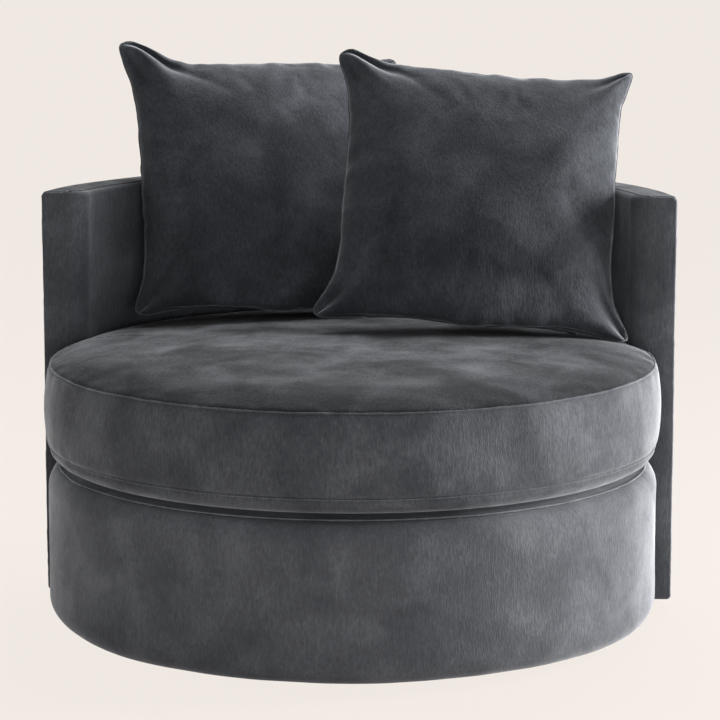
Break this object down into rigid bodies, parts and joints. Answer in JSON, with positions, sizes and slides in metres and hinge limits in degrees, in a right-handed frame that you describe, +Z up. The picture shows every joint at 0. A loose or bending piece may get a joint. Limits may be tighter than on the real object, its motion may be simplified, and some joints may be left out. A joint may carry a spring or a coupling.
{
  "type": "swivel cuddle chair",
  "caption": "Wide round swivel lounge chair with a drum base, wrap-around back and arms, a thick round seat cushion and loose scatter pillows.",
  "frame": {"origin": "floor level at the swivel axis, the middle of the plinth's glides", "axes": "+Z up along the swivel axis, -Y the way the chair faces, +X to the right as seen from the front"},
  "size_m": [1.1574, 1.1414, 1.0118],
  "materials": {
    "velvet": "slate grey cotton velvet, brushed short pile",
    "foam": "cut upholstery foam",
    "fibre": "loose polyester fibre",
    "webbing": "woven elastic webbing",
    "lining_cloth": "black non-woven cloth",
    "plywood": "sanded birch plywood",
    "painted_plinth": "black lacquered plywood",
    "zinc_steel": "zinc plated steel",
    "zip_metal": "dark lacquered zinc slider",
    "zip_nylon": "dark nylon coil on tape",
    "glide_plastic": "moulded nylon"
  },
  "bodies": {
    "base": {"floor_glides": "glide_plastic", "plinth_disc": "painted_plinth", "turntable_lower_plate": "zinc_steel", "turntable_lower_screws": "zinc_steel", "turntable_balls": "zinc_steel", "turntable_ball_cage": "zinc_steel", "pivot_bolt": "zinc_steel", "pivot_nut": "zinc_steel"},
    "chair": {"base_cover": "velvet", "base_floor_board": "plywood", "base_front_foam": "foam", "base_posts": "plywood", "base_skin_board": "plywood", "base_tacking_ring": "plywood", "base_top_ring": "plywood", "deck_cover": "velvet", "deck_foam": "foam", "dust_cover": "lining_cloth", "frame_bolts": "zinc_steel", "frame_tee_nuts": "zinc_steel", "inside_back_cover": "velvet", "left_arm_facing": "velvet", "left_arm_front_board": "plywood", "left_arm_front_pad": "foam", "outside_back_cover": "velvet", "right_arm_facing": "velvet", "right_arm_front_board": "plywood", "right_arm_front_pad": "foam", "top_border_cover": "velvet", "turntable_upper_plate": "zinc_steel", "turntable_upper_screws": "zinc_steel", "wall_bottom_rail": "plywood", "wall_inner_foam": "foam", "wall_inner_liner": "plywood", "wall_lower_posts": "plywood", "wall_middle_rail": "plywood", "wall_outer_liner": "plywood", "wall_top_pad": "foam", "wall_top_rail": "plywood", "wall_upper_posts": "plywood", "wall_wadding": "fibre", "webbing_across": "webbing", "webbing_along": "webbing"},
    "seat_cushion": {"seat_band": "velvet", "seat_bottom_panel": "velvet", "seat_fibre_wrap": "fibre", "seat_foam_core": "foam", "seat_top_panel": "velvet", "seat_zip_chain": "zip_nylon"},
    "left_pillow": {"left_pillow_back_panel": "velvet", "left_pillow_filling": "fibre", "left_pillow_front_panel": "velvet", "left_pillow_zip_chain": "zip_nylon"},
    "right_pillow": {"right_pillow_back_panel": "velvet", "right_pillow_filling": "fibre", "right_pillow_front_panel": "velvet", "right_pillow_zip_chain": "zip_nylon"},
    "left_pillow_zip": {"left_pillow_zip_slider": "zip_metal"},
    "right_pillow_zip": {"right_pillow_zip_slider": "zip_metal"},
    "seat_zip": {"seat_zip_slider": "zip_metal"}
  },
  "joints": [
    {"name": "swivel", "type": "hinge", "parent": "base", "child": "chair", "pos_m": [0, 0, 0], "axis": [0, 0, 1], "continuous": true},
    {"name": "seat_cushion_lift", "type": "slide", "parent": "chair", "child": "seat_cushion", "axis": [0, 0, 1], "range_m": [0, 0.3]},
    {"name": "left_pillow_lift", "type": "slide", "parent": "seat_cushion", "child": "left_pillow", "axis": [0, 0, 1], "range_m": [0, 0.3]},
    {"name": "right_pillow_lift", "type": "slide", "parent": "seat_cushion", "child": "right_pillow", "axis": [0, 0, 1], "range_m": [0, 0.3]},
    {"name": "left_pillow_zip_run", "type": "hinge", "parent": "left_pillow", "child": "left_pillow_zip", "pos_m": [-0.00243, -0.3462, -0.84816], "axis": [-0.3072, 0.8581, -0.4115], "range_deg": [-13.7, 0]},
    {"name": "right_pillow_zip_run", "type": "hinge", "parent": "right_pillow", "child": "right_pillow_zip", "pos_m": [0.14619, -0.56703, -0.83383], "axis": [-0.0931, 0.9008, -0.4242], "range_deg": [-13.7, 0]},
    {"name": "seat_zip_run", "type": "hinge", "parent": "seat_cushion", "child": "seat_zip", "pos_m": [0, 0, 0], "axis": [0, 0, 1], "range_deg": [-108.32, 0]}
  ]
}
